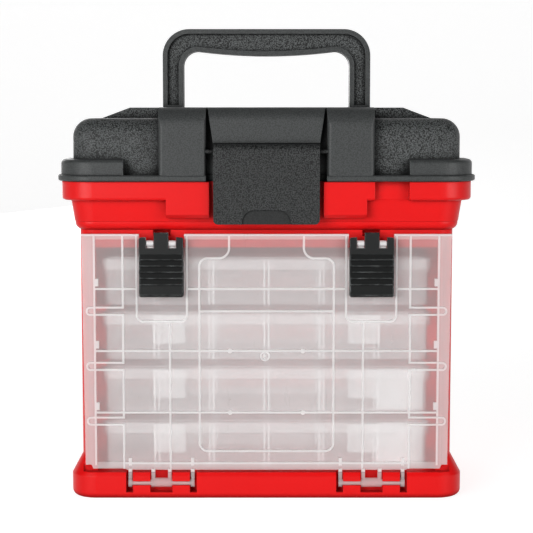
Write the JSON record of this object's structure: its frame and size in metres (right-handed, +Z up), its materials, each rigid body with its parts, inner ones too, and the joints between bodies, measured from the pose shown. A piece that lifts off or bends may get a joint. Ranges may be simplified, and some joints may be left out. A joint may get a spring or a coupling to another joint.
{
  "type": "tackle cabinet",
  "caption": "Portable tackle cabinet: clear drop-down front door over a rack of lidded utility boxes, with a lidded storage bin and folding carry handle on top.",
  "frame": {"origin": "on the ground plane, at the middle of the plan", "axes": "+Z up, +X to the right as seen from the front, the door and main latch face -Y"},
  "size_m": [0.27, 0.175, 0.307],
  "materials": {
    "red_case": "satin moulded, smooth with a light grain",
    "black_case": "moulded, pebble grain on the wings, smooth piers",
    "black_latch": "moulded, pebble grain",
    "clear_door": "frosted translucent",
    "clear_box": "translucent",
    "pin_steel": "drawn wire"
  },
  "bodies": {
    "cabinet": {"rack_housing": "red_case", "upper_bin": "red_case", "lid_hinge_pins": "pin_steel"},
    "lid": {"lid_shell": "black_case", "handle_pivots": "black_case", "lid_latch_pin": "black_latch"},
    "handle": {"carry_handle": "black_case"},
    "main_latch": {"lid_latch": "black_latch"},
    "door": {"door_panel": "clear_door", "door_latch_pins": "clear_door"},
    "door_latch_l": {"door_latch_left": "black_latch"},
    "door_latch_r": {"door_latch_right": "black_latch"},
    "box_1": {"box_tray_1": "clear_box", "box_lid_1": "clear_box", "box_latch_left_1": "clear_box", "box_latch_right_1": "clear_box", "dividers_1": "clear_box"},
    "box_2": {"box_tray_2": "clear_box", "box_lid_2": "clear_box", "box_latch_left_2": "clear_box", "box_latch_right_2": "clear_box", "dividers_2": "clear_box"},
    "box_3": {"box_tray_3": "clear_box", "box_lid_3": "clear_box", "box_latch_left_3": "clear_box", "box_latch_right_3": "clear_box", "dividers_3": "clear_box"},
    "box_4": {"box_tray_4": "clear_box", "box_lid_4": "clear_box", "box_latch_left_4": "clear_box", "box_latch_right_4": "clear_box", "dividers_4": "clear_box"}
  },
  "joints": [
    {"name": "lid_hinge", "type": "hinge", "parent": "cabinet", "child": "lid", "pos_m": [0, 0.0843, 0.207], "axis": [-1, 0, 0], "range_deg": [0, 100]},
    {"name": "handle_hinge", "type": "hinge", "parent": "lid", "child": "handle", "pos_m": [0, 0, 0.246], "axis": [-1, 0, 0], "range_deg": [0, 90]},
    {"name": "main_latch_hinge", "type": "hinge", "parent": "lid", "child": "main_latch", "pos_m": [0, -0.0825, 0.226], "axis": [-1, 0, 0], "range_deg": [0, 100]},
    {"name": "door_hinge", "type": "hinge", "parent": "cabinet", "child": "door", "pos_m": [0, -0.075, 0.0105], "axis": [1, 0, 0], "range_deg": [0, 90]},
    {"name": "door_latch_hinge_l", "type": "hinge", "parent": "door", "child": "door_latch_l", "pos_m": [-0.0675, -0.0776, 0.1672], "axis": [-1, 0, 0], "range_deg": [0, 40]},
    {"name": "door_latch_hinge_r", "type": "hinge", "parent": "door", "child": "door_latch_r", "pos_m": [0.0675, -0.0776, 0.1672], "axis": [-1, 0, 0], "range_deg": [0, 40]},
    {"name": "box_slide_1", "type": "slide", "parent": "cabinet", "child": "box_1", "axis": [0, -1, 0], "range_m": [0, 0.025]},
    {"name": "box_slide_2", "type": "slide", "parent": "cabinet", "child": "box_2", "axis": [0, -1, 0], "range_m": [0, 0.06]},
    {"name": "box_slide_3", "type": "slide", "parent": "cabinet", "child": "box_3", "axis": [0, -1, 0], "range_m": [0, 0.09]},
    {"name": "box_slide_4", "type": "slide", "parent": "cabinet", "child": "box_4", "axis": [0, -1, 0], "range_m": [0, 0.115]}
  ],
  "couplings": [
    {"joint": "box_slide_1", "follows": "door_hinge", "m_per_rad": 0.01591},
    {"joint": "box_slide_2", "follows": "door_hinge", "m_per_rad": 0.03819},
    {"joint": "box_slide_3", "follows": "door_hinge", "m_per_rad": 0.05729},
    {"joint": "box_slide_4", "follows": "door_hinge", "m_per_rad": 0.07321}
  ]
}
